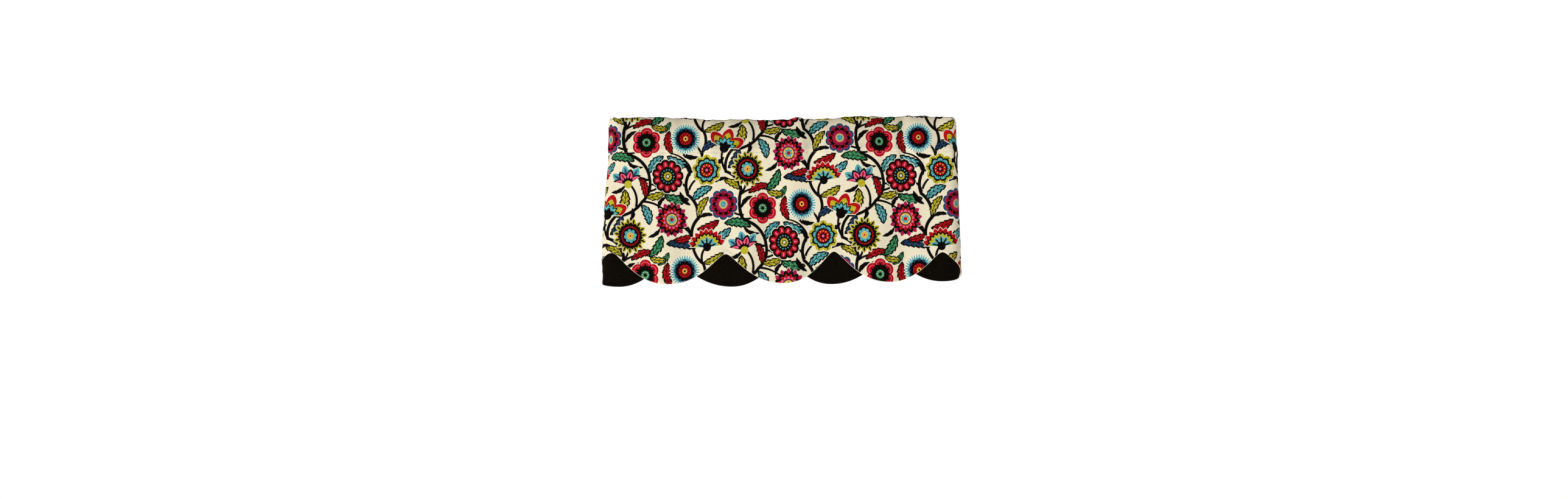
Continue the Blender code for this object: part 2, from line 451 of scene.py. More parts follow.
def relief(at, up):
    """Finer shape at a height up above the seam or, if negative, below it: tucks and gathers that fade
    away from the seam, long creases, small waves, and the ridge along the seam with the groove of its
    stitch line and a swell above it."""
    out = np.zeros(np.broadcast(at, up).shape)
    far = np.abs(up) / MM
    drop = np.clip(-up / (SEAM_Z - LOWEST_Z), 0, 1)
    for tuck in rows(TUCK_COLUMNS, TUCKS):
        across = bell(at / MM - tuck["at"], tuck["spread"] * (1 + far / TUCK_WIDENS))
        out -= tuck["depth"] * across * np.exp(-((far / tuck["reach"]) ** 1.4))
    for crease in rows(CREASE_COLUMNS, CREASES):
        across = bell(at / MM - crease["at"] - crease["slant"] * drop, crease["spread"])
        out -= crease["depth"] * across * np.clip(drop / CREASE_FULL, 0, 1) ** 0.8
    for wave in rows(WAVE_COLUMNS, WAVES):
        turns = at / MM / wave["along"] + up / MM / wave["down"] + wave["phase"]
        out += wave["height"] * np.sin(2 * np.pi * turns)
    out += ripples(at, GATHERS) * np.exp(-np.abs(up) / GATHER_REACH)
    groove = -SEAM_GROOVE * bell(up, SEAM_GROOVE_REACH)
    swell = SEAM_SWELL * bell(up - SEAM_SWELL_AT, SEAM_SWELL_REACH)
    ridge = SEAM_RIDGE * np.exp(-np.abs(up) / SEAM_RIDGE_REACH)
    return out * MM + groove + swell + ridge


def hanging(at, z, back):
    """Points below the seam at heights z, hanging a distance behind the face's own surface."""
    up = z - seam_z(at)
    depth = np.clip(-up / (SEAM_Z - LOWEST_Z), 0, 1)
    out = fold_out(at, depth) + side_out(at, 0, depth) + relief(at, up)
    x, y = path_point(at, out - back)
    return np.stack(np.broadcast_arrays(x, y, z), axis=-1)


def pocket_surface(at, along):
    """Points of the pocket at distances along its profile from the seam: a smooth curve through the rows
    of the pocket table, lifted by the uneven top edge. The finer shape is the seam's own near the face,
    and over the crest it gives way to another stretch of it."""
    table = np.array(POCKET, float)
    places = pocket_places()
    z, back, side, top, gather, held = smooth_curve(along, places, table).T[..., None]
    z = z * MM + top * top_rise(at) + (1 - top) * SEAM_TILT * at
    up = np.where(back * MM < NEAR_FACE, z - seam_z(at), FAR_UP + 0 * at)
    on_front = np.clip(1 - (along[:, None] - FRONT_FULL) / FRONT_FADE, 0, 1)
    behind = relief(at + FLAP_SHIFT, up + FAR_UP) * FLAP_RELIEF
    fine = relief(at, up) * on_front + behind * (1 - on_front)
    back = back + (side - back) * side_share(at)
    out = gather * fold_out(at, np.zeros_like(at)) + side_out(at, held, 0) + fine
    x, y = path_point(at, out - back * MM)
    return np.stack(np.broadcast_arrays(x, y, z), axis=-1)


def pocket_places():
    """Distance of each row of the pocket table from the seam along the profile."""
    table = np.array(POCKET, float)[:, :2] * MM
    return np.concatenate([[0], np.cumsum(np.hypot(*np.diff(table, axis=0).T))])


def cut_width(at):
    """Distance across the flat cloth for places along the path: the length of the cloth's wave half way
    down, measured from the middle."""
    x, y = path_point(at, fold_out(at, np.full_like(at, 0.5)))
    length = np.concatenate([[0], np.cumsum(np.hypot(np.diff(x), np.diff(y)))])
    return length - np.interp(0, at, length)


# ---------------------------------------------------------------- closed shells of cloth
RIM_TURNS = np.radians([45, 90, 135])
END_TURNS = np.radians([70, 35])
# The layout for baking, in shares of the map: where the cloth starts and how much it takes across and
# up; how much its end columns spread; where the strips for the caps of the side edges stand, and their
# width. The step round a rim is in metres.
BAKE_START = (0.008, 0.003)
BAKE_SIZE = (0.984, 0.994)
BAKE_SPREAD = 0.002
CAP_LEFT = 0.001
CAP_RIGHT = 0.996
CAP_WIDTH = 0.003
RIM_STEP = 0.0012


def unit(vectors):
    """Vectors brought to a length of one."""
    return vectors / np.maximum(np.linalg.norm(vectors, axis=-1, keepdims=True), 1e-12)


def linked(name, points, faces, material, smooth=True):
    """A piece of points and faces in a material, linked into the scene."""
    mesh = bpy.data.meshes.new(name)
    mesh.from_pydata(points, [], faces)
    mesh.materials.append(material)
    if smooth:
        mesh.shade_smooth()
    piece = bpy.data.objects.new(name, mesh)
    bpy.context.scene.collection.objects.link(piece)
    return piece


def surface_normal(middle):
    """The outward normal over a grid of points by row from the hem and column."""
    return unit(np.cross(np.gradient(middle, axis=1), np.gradient(middle, axis=0)))


def shell_points(middle, half):
    """Points of a shell round a grid of middle points, with the grid row and the turn from the outer to
    the inner side of each of its rows, and the grid column of each of its columns. Its rows run up the
    outer side, over the top's rim, down the inner side and round the hem's rim. Its end columns round
    off the side edges."""
    count, columns = middle.shape[:2]
    rim = len(RIM_TURNS)
    normal = surface_normal(middle)
    along = unit(np.gradient(middle, axis=1))
    upward = unit(np.gradient(middle, axis=0))
    every = np.arange(count)
    row = np.concatenate([every, np.full(rim, count - 1), every[::-1], np.zeros(rim, int)])
    turn = np.concatenate([every * 0.0, RIM_TURNS, every * 0.0 + np.pi, RIM_TURNS[::-1]])
    upper = 2 * count + rim
    edge = np.concatenate([upward[row[:upper]], -upward[row[upper:]]])
    offset = np.cos(turn)[:, None, None] * normal[row] + np.abs(np.sin(turn))[:, None, None] * edge
    end = np.concatenate([END_TURNS, np.zeros(columns), END_TURNS[::-1]])[:, None]
    number = np.arange(len(end))
    col = np.clip(number - len(END_TURNS), 0, columns - 1)
    side = np.where(number < len(END_TURNS), -1, 1)[:, None]
    offset = np.cos(end) * offset[:, col] + np.sin(end) * side * along[row][:, col]
    points = middle[row][:, col] + half[row][:, col, None] * offset
    return points, row, turn, col


def shell_faces(count, loop, wide):
    """Faces of a shell: quads round its loop, caps of quads that close the two side edges between the
    outer and the inner side, and one face at each end of the top's and the hem's rim."""
    rim = len(RIM_TURNS)
    index = np.arange(loop * wide).reshape(loop, wide)
    after = np.roll(index, -1, axis=0)
    quads = np.stack([index[:, :-1], index[:, 1:], after[:, 1:], after[:, :-1]], axis=-1).reshape(-1, 4)
    outer = np.arange(count)
    inner = 2 * count + rim - 1 - outer
    ends = ((0, 1), (wide - 1, -1))
    caps = []
    for place, way in ends:
        outer_edge = index[outer, place]
        inner_edge = index[inner, place]
        cap = np.stack([outer_edge[:-1], outer_edge[1:], inner_edge[1:], inner_edge[:-1]], axis=-1)
        caps.append(cap[:, ::way])
    rims = []
    for first, last in ((count - 1, count + rim), (2 * count + rim - 1, loop)):
        ring = np.arange(first, last + 1) % loop
        rims.extend(index[ring, place][::way].tolist() for place, way in ends)
    return quads, caps, rims


def bake_places(steps, across, quads, corner, count):
    """Place on the baking map of every face corner: across by its place on the flat cloth, up by its
    distance round the loop. The quads that close the loop end at the top of the map, and the caps stand
    in strips beside the cloth."""
    loop = len(steps)
    wide = len(across)
    climbed = np.concatenate([[0], np.cumsum(steps)])
    share = (across - across[0]) / (across[-1] - across[0]) + np.linspace(-1, 1, wide) * BAKE_SPREAD
    share = (share - share[0]) / (share[-1] - share[0])
    bake_x = BAKE_START[0] + BAKE_SIZE[0] * share
    bake_y = BAKE_START[1] + BAKE_SIZE[1] * (climbed / climbed[-1])
    row, col = np.divmod(corner, wide)
    places = np.stack([bake_x[col], bake_y[row]], axis=-1)
    last = quads.size
    closing = (row[:last] == 0) & (np.repeat(quads[:, 0] // wide, 4) == loop - 1)
    places[:last][closing, 1] = bake_y[-1]
    caps = places[last:]
    inside = row[last:] >= count
    caps[:, 0] = np.where(col[last:] == 0, CAP_LEFT, CAP_RIGHT) + CAP_WIDTH * inside
    mirrored = np.clip(2 * count + len(RIM_TURNS) - 1 - row[last:], 0, count - 1)
    caps[inside, 1] = bake_y[mirrored[inside]]
    return places


def cloth_shell(name, middle, half, across, down, material):
    """A closed piece of cloth round a middle surface, a grid of points by row from the hem and column.

    The outer side is the middle plus the normal times the half thickness, the inner side the middle
    minus it, and a half circle of the same radius rounds off every edge. across and down are the places
    on the flat cloth. The map "cloth" holds these in metres, the map "OFBake" lays both sides out one
    above the other, and the attributes hold where the reverse is and how far the lower hem is."""
    points, row, turn, col = shell_points(middle, half)
    count = len(middle)
    loop, wide = points.shape[:2]
    quads, caps, rims = shell_faces(count, loop, wide)
    faces = np.concatenate([quads, *caps]).tolist() + rims
    piece = linked(name, points.reshape(-1, 3), faces, material)
    mesh = piece.data

    corner = np.empty(len(mesh.loops), int)
    mesh.loops.foreach_get("vertex_index", corner)
    across = across[col]
    grid_down = down[row][:, col]
    flat = np.stack(np.broadcast_arrays(across, grid_down), axis=-1).reshape(-1, 2)[corner]
    bake = bake_places(sheet_steps(middle, row), across, quads, corner, count)
    for map_name, places in (("cloth", flat), ("OFBake", bake)):
        layer = mesh.uv_layers.new(name=map_name)
        layer.uv.foreach_set("vector", places.astype(np.float32).ravel())

    reverse = np.broadcast_to((np.cos(turn) < -0.1)[:, None], (loop, wide))
    from_hem = grid_down - down[0][col]
    for attribute, values in (("reverse", reverse), ("from_hem", from_hem)):
        layer = mesh.attributes.new(attribute, "FLOAT", "POINT")
        layer.data.foreach_set("value", values.astype(np.float32).ravel())
    mesh.validate()
    return piece


def sheet_steps(middle, row):
    """Mean distance on the middle surface from each row of a shell's loop to the next, and a small step
    round each rim, so that a layout keeps the cloth's proportions."""
    gaps = np.linalg.norm(np.diff(middle, axis=0), axis=-1).mean(axis=1)
    after = np.roll(row, -1)
    low = np.minimum(row, after)
    return np.where(row == after, RIM_STEP, gaps[np.clip(low, 0, len(gaps) - 1)])


def hem_bulge(distance, depth, thin, thick):
    """Half thickness at a distance from a turned edge: thick within the turning's depth, then thin."""
    share = np.clip((distance - depth) / HEM_STEP, 0, 1)
    return (thick + (thin - thick) * share) / 2


def hem_rows(hem, top, count):
    """Heights of rows from a hem up to a top: close rows over the turned hem, then even shares."""
    close = [hem + rise for rise in HEM_ROWS]
    share = np.linspace(0, 1, count + 1)[1:]
    start = close[-1]
    return np.array(close + [start + (top - start) * s for s in share])


def face_surface():
    """The middle surface of the printed cloth: points by row and column, places across and down the flat
    cloth, and the rows of the front and back stitch lines."""
    at = np.linspace(-RETURN_END, RETURN_END, FACE_COLUMNS)
    seam = seam_z(at)
    z = hem_rows(hem_z(at, FACE_HEM), seam - SEAM_ROWS[0], FACE_ROWS)
    z = np.concatenate([z, [seam - drop for drop in SEAM_ROWS[1:]]])
    below = hanging(at, z, 0)
    places = pocket_places()
    start = np.array((0,) + SEAM_ROWS[::-1])
    back_seam = places[BACK_SEAM]
    steps = np.arange(start[-1] + POCKET_STEP, back_seam - POCKET_STEP / 2, POCKET_STEP)
    end = np.array([back_seam, *(back_seam + row for row in FLAP_ROWS), places[-1]])
    along = np.concatenate([start, steps, end])
    above = pocket_surface(at, along)
    middle = np.concatenate([below, above])
    lengths = np.linalg.norm(np.diff(above, axis=0), axis=-1)
    climbed = np.concatenate([np.zeros((1, len(at))), np.cumsum(lengths, axis=0)])
    down = np.concatenate([z - seam, climbed])
    front_row = len(z)
    back_row = front_row + len(start) + len(steps)
    return middle, cut_width(at), down, front_row, back_row


def under_surface():
    """The middle surface of the black cloth, with its places across and down. Its top is caught in the
    seam, and it hangs a little further behind the face towards its hem."""
    at = np.linspace(-RETURN_END, RETURN_END, UNDER_COLUMNS)
    top = seam_z(at) + UNDER_TOP
    hem = hem_z(at, UNDER_HEM)
    z = hem_rows(hem, top, UNDER_ROWS)
    drop = (top - z) / (top - hem)
    back = np.interp(drop, *np.array(UNDER_BACK).T) * MM
    return hanging(at, z, back), cut_width(at), z - top


def half_thickness(across, down, thin, thick):
    """Half thickness of a cloth over its grid: its turned lower hem and side hems are thicker."""
    lower = hem_bulge(down - down[0], HEM_DEPTH, thin, thick)
    from_side = np.minimum(across - across[0], across[-1] - across)
    sides = hem_bulge(from_side, SIDE_HEM_DEPTH, thin, thick)
    return np.maximum(lower, sides[None, :])


# ---------------------------------------------------------------- stitches
# A stitch: where its rings stand, in shares of its half length; their girth as a share of the thread's;
# sides of a ring; share of the pitch that is gap; how far its ends dip, in thread diameters
STITCH_RINGS = np.array([-1.0, -0.72, 0.0, 0.72, 1.0])
STITCH_GIRTH = np.array([0.35, 0.85, 1.0, 0.85, 0.35])
STITCH_SIDES = 6
STITCH_GAP = 0.16
STITCH_DIP = 1.1
SIDE_STITCH = 0.0078


def stitch_line(centres, forward, outward, length, girth):
    """Points and faces of a row of stitches, each a short rod. Its rings stand at shares of half the
    stitch's length along the seam, and dip into the cloth by the fourth power of the share."""
    reach = length * (1 - STITCH_GAP) / 2
    sideways = unit(np.cross(forward, outward))
    angle = np.arange(STITCH_SIDES) * 2 * np.pi / STITCH_SIDES
    ring = STITCH_RINGS[None, :, None, None]
    radius = girth / 2 * STITCH_GIRTH[None, :, None, None]
    dip = STITCH_DIP * girth * ring**4
    along = centres[:, None, None] + forward[:, None, None] * ring * reach
    lift = outward[:, None, None] * (radius * np.cos(angle)[None, None, :, None] - dip)
    across = sideways[:, None, None] * radius * np.sin(angle)[None, None, :, None]
    points = along + lift + across
    rings = len(STITCH_RINGS)
    index = np.arange(rings * STITCH_SIDES).reshape(rings, STITCH_SIDES)
    after = np.roll(index, -1, axis=1)
    quads = np.stack([index[:-1], index[1:], after[1:], after[:-1]], axis=-1).reshape(-1, 4)
    starts = np.arange(len(centres)) * rings * STITCH_SIDES
    sides = (quads[None] + starts[:, None, None]).reshape(-1, 4)
    ends = np.concatenate([index[0][None], index[-1][::-1][None]])
    ends = (ends[None] + starts[:, None, None]).reshape(-1, STITCH_SIDES)
    return points.reshape(-1, 3), sides, ends


def joined_stitches(name, lines, material):
    """One piece from several lines of stitches."""
    points = []
    faces = []
    total = 0
    for spots, sides, ends in lines:
        points.append(spots)
        faces.extend((sides + total).tolist())
        faces.extend((ends + total).tolist())
        total += len(spots)
    return linked(name, np.concatenate(points), faces, material)


def spaced(line, normal, half, pitch, side):
    """Places for stitches along a line of the middle surface: centres on the outer face, or with side -1
    on the inner, one every pitch, with the direction of the line and of the face."""
    steps = np.linalg.norm(np.diff(line, axis=0), axis=1)
    length = np.concatenate([[0], np.cumsum(steps)])
    places = np.arange(pitch, length[-1] - pitch, pitch)
    values = np.concatenate([line, normal, half[:, None]], axis=1)
    found = np.stack([np.interp(places, length, v) for v in values.T], axis=1)
    outward = unit(found[:, 3:6]) * side
    centre = found[:, :3] + outward * found[:, 6:]
    forward = unit(np.gradient(found[:, :3], axis=0))
    forward = unit(forward - outward * (forward * outward).sum(axis=1, keepdims=True))
    return centre, forward, outward


# ---------------------------------------------------------------- finishes
# The print, in millimetres: width of the ink's soft edge; the pale line round a flower; how far a stem
# runs past its ends; a leaf's black rim, its outline as a share of its width, and the power that shapes
# it; slant, width and softness of its ribs in shares of a tooth; half width and softness of its vein
INK_EDGE = 0.75
HALO = 1.6
STEM_OVERLAP = 1
LEAF_RIM = 0.5
LEAF_OUTLINE = 0.165
LEAF_POWER = 0.62
RIB_SLANT = 1.2
RIB_WIDTH = 0.20
RIB_EDGE = 0.10
VEIN_HALF = 0.9
VEIN_EDGE = 0.5

# Noise on the cloth, in waves per metre across, down and off it
SLUB_SCALE = (110, 500, 1)
GRAIN_SCALE = (380, 620, 1)
BLACK_GRAIN_SCALE = (420, 460, 1)
PATCH_SCALE = (9, 9, 1)
TWIST_SCALE = (2600, 2600, 2600)
# The weave's height is a share of plain weave and a share of slub, over a depth in metres
WEAVE_SHARE = 0.3
WEAVE_DEPTH = 0.00022
WEAVE_STRENGTH = 0.7
# Where dye misses a thick thread: share of grain in it; gain and start; most of it; how much each
# channel of the dye shows it, so that black and red hide it
BARE_GRAIN = 0.6
BARE_GAIN = 4.5
BARE_START = -3.85
BARE_MOST = 0.6
DYE_SHOWS = (0.2, 2.0, 1.0)
# The same for the black cloth, whose worn threads are this many times as light
WORN_GRAIN = 0.7
WORN_GAIN = 2.6
WORN_START = -1.95
WORN_LIGHTER = 4.0
# Light and dark of the printed cloth: lowest value, depth of its patches and of its grain
SHADE_LOW = 0.93
PATCH_DEPTH = 0.10
GRAIN_DEPTH = 0.36
# How much of the reverse's colour shows at the back and on the fold of the lower hem, where it is partly a
# painted highlight of the turned edge, and where the fold's line ends and how softly, in metres
REVERSE_SHARE = 0.8
FOLD_REVERSE_AND_HIGHLIGHT = 0.55
FOLD_LINE = 0.0003
FOLD_EDGE = 0.0009
PRINT_COLOURS = ("cream", "ivory", "ink", "red", "magenta", "pink", "turquoise", "mustard", "amber")
PRINT_COLOURS += ("navy", "green", "reverse")


class Value:
    """One output of a material's node. Arithmetic on it adds Math nodes."""

    def __init__(self, finish, socket):
        self.finish = finish
        self.socket = socket

    def __add__(self, other):
        return self.finish.math("ADD", self, other)

    def __radd__(self, other):
        return self.finish.math("ADD", other, self)

    def __sub__(self, other):
        return self.finish.math("SUBTRACT", self, other)

    def __rsub__(self, other):
        return self.finish.math("SUBTRACT", other, self)

    def __mul__(self, other):
        return self.finish.math("MULTIPLY", self, other)

    def __rmul__(self, other):
        return self.finish.math("MULTIPLY", other, self)

    def __pow__(self, other):
        return self.finish.math("POWER", self, other)

    def __abs__(self):
        return self.finish.math("ABSOLUTE", self)


class Finish:
    """A material in the making."""

    def __init__(self, name):
        self.material = bpy.data.materials.new(name)
        self.material.use_nodes = True
        self.tree = self.material.node_tree
        self.shader = self.tree.nodes["Principled BSDF"]

    def add(self, kind, settings=(), inputs=(), output=0):
        """Adds a node of a kind. Its settings are set first, then the values or links of its sockets."""
        node = self.tree.nodes.new(kind)
        for name, value in dict(settings).items():
            setattr(node, name, value)
        for place, value in dict(inputs).items():
            if isinstance(value, Value):
                self.tree.links.new(value.socket, node.inputs[place])
            else:
                node.inputs[place].default_value = value
        return Value(self, node.outputs[output])

    def math(self, operation, *values, clamp=False):
        """A Math node on numbers or values."""
        settings = {"operation": operation, "use_clamp": clamp}
        return self.add("ShaderNodeMath", settings, enumerate(values))

    def vector(self, operation, *values, output=0):
        """A Vector Math node on vectors or values."""
        return self.add("ShaderNodeVectorMath", {"operation": operation}, enumerate(values), output)

    def dot(self, vector, direction):
        """The distance of a vector along a direction."""
        return self.vector("DOT_PRODUCT", vector, direction, output=1)

    def fill(self, distance, edge=0.0, soft=INK_EDGE):
        """How far a place is inside a shape: 1 and more where distance is below edge, falling to 0 and
        less over the soft width of the ink's edge. Mix nodes hold it between 0 and 1."""
        return self.math("MULTIPLY_ADD", distance, -1 / soft, 0.5 + edge / soft)

    def mixed(self, mask, under, over):
        """The colour under, covered by the colour over as far as the mask says."""
        return self.add("ShaderNodeMix", {"data_type": "RGBA"}, {0: mask, 6: under, 7: over}, 2)

    def noise(self, place, scale, detail=2.0, rough=0.5):
        """A Noise Texture's number from 0 to 1 at a place stretched by a scale in each direction."""
        stretched = self.vector("MULTIPLY", place, scale)
        inputs = {"Vector": stretched, "Scale": 1.0, "Detail": detail, "Roughness": rough}
        return self.add("ShaderNodeTexNoise", {"noise_dimensions": "3D"}, inputs)

    def link(self, value, socket):
        """Feeds a socket of the shader."""
        self.tree.links.new(value.socket, self.shader.inputs[socket])

    def bump(self, height, distance, strength=1.0):
        """Feeds the shader's Normal from a height between 0 and 1 over a distance in metres."""
        inputs = {"Height": height, "Distance": distance, "Strength": strength}
        self.link(self.add("ShaderNodeBump", (), inputs), "Normal")


class Print:
    """The print as it is built up, shape over shape, on the flat cloth in millimetres. The repeat is a
    half drop: neighbouring columns are half a height apart. place holds the distance across and the
    distance up less half a height for each width across, in which the repeat is a plain grid."""

    def __init__(self, finish, flat, width, height, colours):
        self.finish = finish
        self.colours = colours
        self.lean = height / (2 * width)
        self.reach = (width / 2, height / 2, 1)
        across = finish.dot(flat, (1000, 0, 0))
        up = finish.dot(flat, (-1000 * self.lean, 1000, 0))
        self.place = finish.add("ShaderNodeCombineXYZ", (), {0: across, 1: up})
        self.colour = finish.add("ShaderNodeRGB")
        self.colour.socket.default_value = (*colours["cream"], 1)

    def local(self, x, y, turn=0.0, squeeze=1.0):
        """Distances from a spot of the repeat, right and up before they are turned by an angle in
        degrees: the offset is wrapped into one repeat, then taken along two directions."""
        centre = (x, y - self.lean * x, 0)
        offset = self.finish.vector("SUBTRACT", self.place, centre)
        low = tuple(-r for r in self.reach)
        offset = self.finish.vector("WRAP", offset, self.reach, low)
        c = math.cos(math.radians(turn))
        s = math.sin(math.radians(turn))
        right = self.finish.dot(offset, ((c + self.lean * s) / squeeze, s / squeeze, 0))
        up = self.finish.dot(offset, (self.lean * c - s, c, 0))
        return right, up

    def cover(self, mask, colour):
        """Lays a named colour over the print as far as the mask says."""
        self.colour = self.finish.mixed(mask, self.colour, (*self.colours[colour], 1))

    def stem(self, row):
        """A stem from one spot to another: the arc of a circle that stands out from the line between
        them by the bulge, on its left if that is positive, and tapers from one width to the other."""
        dx = row["x1"] - row["x0"]
        dy = row["y1"] - row["y0"]
        length = math.hypot(dx, dy)
        bulge = row["bulge"]
        radius = (length**2 / 4 + bulge**2) / (2 * abs(bulge))
        side = math.copysign(1, bulge)
        normal = (-dy / length * side, dx / length * side)
        centre = [-n * (radius - abs(bulge)) for n in normal]
        right, up = self.local((row["x0"] + row["x1"]) / 2, (row["y0"] + row["y1"]) / 2)
        spot = self.finish.add("ShaderNodeCombineXYZ", (), {0: right, 1: up})
        from_centre = self.finish.vector("DISTANCE", spot, (*centre, 0), output=1)
        off = abs(from_centre - radius)
        along = self.finish.dot(spot, (dx / length, dy / length, 0))
        slope = (row["wide0"] - row["wide1"]) / length / 2
        off = self.finish.math("MULTIPLY_ADD", along, slope, off)
        half = (row["wide0"] + row["wide1"]) / 4
        past_end = abs(along) + (half - length / 2 - STEM_OVERLAP)
        far_side = self.finish.dot(spot, (-normal[0], -normal[1], 0))
        distance = self.finish.math("MAXIMUM", off, past_end)
        distance = self.finish.math("MAXIMUM", distance, far_side)
        self.cover(self.finish.fill(distance, half), "ink")

    def leaf(self, row):
        """A leaf from its base outwards: its half width goes with a power of share times 1 - share, and
        is cut by a sawtooth for its teeth. Its middle line bows by the bend. The vein along it and the
        slanting ribs stay dark."""
        finish = self.finish
        along, off = self.local(row["x"], row["y"], row["turn"])
        share = along * (1 / row["long"])
        arch = share * (1 - share)
        off = abs(finish.math("MULTIPLY_ADD", arch, -4 * row["bend"], off))
        body = arch**LEAF_POWER
        full = 0.25**LEAF_POWER
        steps = share * row["teeth"]
        teeth = finish.math("FRACT", steps)
        half = finish.math("MULTIPLY_ADD", teeth, row["notch"] / full, -row["wide"] / 2 / full)
        distance = finish.math("MULTIPLY_ADD", body, half, off)
        self.cover(finish.fill(distance, -LEAF_RIM), "ink")
        if row["fill"] == "ink":
            return
        ribs = finish.math("MULTIPLY_ADD", off, -RIB_SLANT * row["teeth"] / row["long"], steps)
        ribs = finish.math("FRACT", ribs)
        ribs = finish.fill(RIB_WIDTH - ribs, 0, RIB_EDGE)
        middle = finish.fill(VEIN_HALF - off, 0, VEIN_EDGE)
        inside = finish.fill(distance, -LEAF_OUTLINE * row["wide"])
        inside = finish.math("MINIMUM", inside, finish.math("MINIMUM", ribs, middle))
        self.cover(inside, row["fill"])

    def flower(self, row, layers):
        """A flower seen from the front or, with a span below 180 degrees, from the side. Its layers are
        laid on from the largest, by the distance from its centre and the angle round it."""
        finish = self.finish
        right, up = self.local(row["x"], row["y"], row["turn"], row["squeeze"])
        spot = finish.add("ShaderNodeCombineXYZ", (), {0: right, 1: up})
        out = finish.vector("LENGTH", spot, output=1)
        angle = finish.math("ARCTAN2", right, up)
        fan = None
        if row["span"] < 180:
            fan = (abs(angle) - math.radians(row["span"])) * out
        for number, layer in enumerate(rows(LAYER_COLUMNS, layers, LAYER_PLAIN)):
            distance = getattr(self, layer["kind"])(out, angle, layer)
            if fan is not None and layer["kind"] != "disc":
                distance = finish.math("MAXIMUM", distance, fan)
            if number == 0:
                self.cover(finish.fill(distance, HALO), "ivory")
            self.cover(finish.fill(distance, 0), layer["colour"])

    def beat(self, angle, layer):
        """Angle from the nearest middle of a petal, in radians."""
        step = math.pi / layer["count"]
        if layer["phase"]:
            angle = angle + 2 * step * layer["phase"]
        return self.finish.math("PINGPONG", angle, step)

    def disc(self, out, angle, layer):
        """A round disc of the radius."""
        return out - layer["radius"]

    def petals(self, out, angle, layer):
        """Outside the radius less a cut that grows with a power of the angle from a petal's middle."""
        beat = self.beat(angle, layer)
        power = layer["power"]
        if power != 1:
            beat = beat**power
        cut = layer["cut"] * (layer["count"] / math.pi) ** power
        edge = self.finish.math("MULTIPLY_ADD", beat, cut, out)
        return edge - layer["radius"]

    def drops(self, out, angle, layer):
        """Pointed drops from radius less cut to radius, whose half width is power at their middle."""
        share = self.finish.math("MULTIPLY_ADD", out, -1 / layer["cut"], layer["radius"] / layer["cut"])
        arch = share * (1 - share)
        across = self.beat(angle, layer) * out
        return self.finish.math("MULTIPLY_ADD", arch, -4 * layer["power"], across)

    def dots(self, out, angle, layer):
        """Four-cornered dots of a half size, cut, that stand on a circle of the radius."""
        off = abs(out - layer["radius"])
        near = self.finish.math("MULTIPLY_ADD", self.beat(angle, layer), layer["radius"], off)
        return near - layer["cut"]


# ---------------------------------------------------------------- the print's own shapes, in millimetres
# The layers of each flower from the largest: kind; colour; radius; count, how many round; cut, depth of
# the petals, length of the drops or half size of the dots; power, how round the petals are or half width
# of the drops; phase, shift round in petals. What a row leaves out is as in LAYER_PLAIN.
LAYER_COLUMNS = ("kind", "colour", "radius", "count", "cut", "power", "phase")
LAYER_PLAIN = {"count": 1, "cut": 0, "power": 1, "phase": 0}
ASTER = (
    ("petals", "mustard", 46, 15, 11, 1.5), ("drops", "ink", 44, 15, 15, 2.4),
    ("petals", "ink", 35, 15, 5, 1, 0.5), ("petals", "red", 26, 30, 4), ("disc", "ink", 21.5),
    ("petals", "turquoise", 17.5, 8, 5, 2.4), ("disc", "amber", 9), ("dots", "ink", 6, 8, 1.3),
    ("disc", "red", 2.6),
)
ROSETTE = (
    ("petals", "navy", 40, 10, 6, 2.6), ("petals", "magenta", 34, 10, 6, 2.6),
    ("petals", "ink", 30.5, 20, 4), ("petals", "magenta", 21, 10, 4, 2.4, 0.5),
    ("drops", "red", 29, 10, 10, 1.8), ("petals", "amber", 12.5, 20, 3), ("disc", "turquoise", 8.5),
    ("dots", "ink", 4.4, 6, 1.2),
)
DAISY = (
    ("petals", "ink", 44, 11, 5, 3.2), ("petals", "red", 38.5, 11, 20, 3.4),
    ("drops", "pink", 37, 11, 13, 2.4), ("petals", "ink", 26.5, 22, 4),
    ("dots", "turquoise", 17, 14, 2.1), ("petals", "mustard", 12, 14, 2.6), ("disc", "ink", 6.4),
    ("petals", "cream", 5, 5, 3),
)
POPPY = (
    ("petals", "red", 40, 6, 8, 2.2), ("petals", "pink", 34, 6, 9, 2.2),
    ("petals", "red", 32.5, 6, 10, 2.2), ("drops", "ink", 30, 12, 14, 3.0),
    ("petals", "ink", 25, 12, 4, 1, 0.5), ("disc", "green", 11), ("dots", "cream", 8, 9, 1.3),
    ("disc", "ink", 4.4),
)
DAHLIA = (
    ("petals", "magenta", 46, 13, 12, 1.2), ("petals", "ink", 40.5, 13, 10, 1.2, 0.5),
    ("petals", "red", 32, 13, 11, 1.2, 0.5), ("petals", "pink", 25, 13, 7, 1.2),
    ("petals", "ink", 20, 26, 4), ("disc", "amber", 14.5), ("petals", "turquoise", 12, 7, 4, 2),
    ("disc", "red", 5),
)
FRINGE = (
    ("drops", "turquoise", 41, 34, 13, 1.9), ("disc", "turquoise", 32),
    ("petals", "navy", 30, 12, 5, 2), ("petals", "ink", 27.5, 12, 5, 1, 0.5), ("disc", "red", 16.5),
    ("drops", "ink", 16, 12, 10, 1.2), ("petals", "amber", 7.5, 8, 2.4), ("disc", "ink", 3),
)
FAN = (
    ("petals", "red", 48, 20, 8, 1.3), ("petals", "ink", 39.5, 20, 6, 1, 0.5),
    ("petals", "mustard", 34.5, 20, 6, 1, 0.5), ("petals", "turquoise", 27, 10, 7, 1.4),
    ("drops", "ink", 25, 10, 15, 2.3), ("petals", "ink", 15, 10, 4), ("disc", "ink", 10),
)
TULIP = (
    ("petals", "red", 54, 7, 19, 1.5), ("petals", "mustard", 42, 7, 17, 1.3),
    ("petals", "ink", 33, 14, 9, 1, 0.5), ("petals", "turquoise", 28, 14, 8, 1, 0.5),
    ("petals", "ink", 20, 7, 7), ("disc", "ink", 12),
)
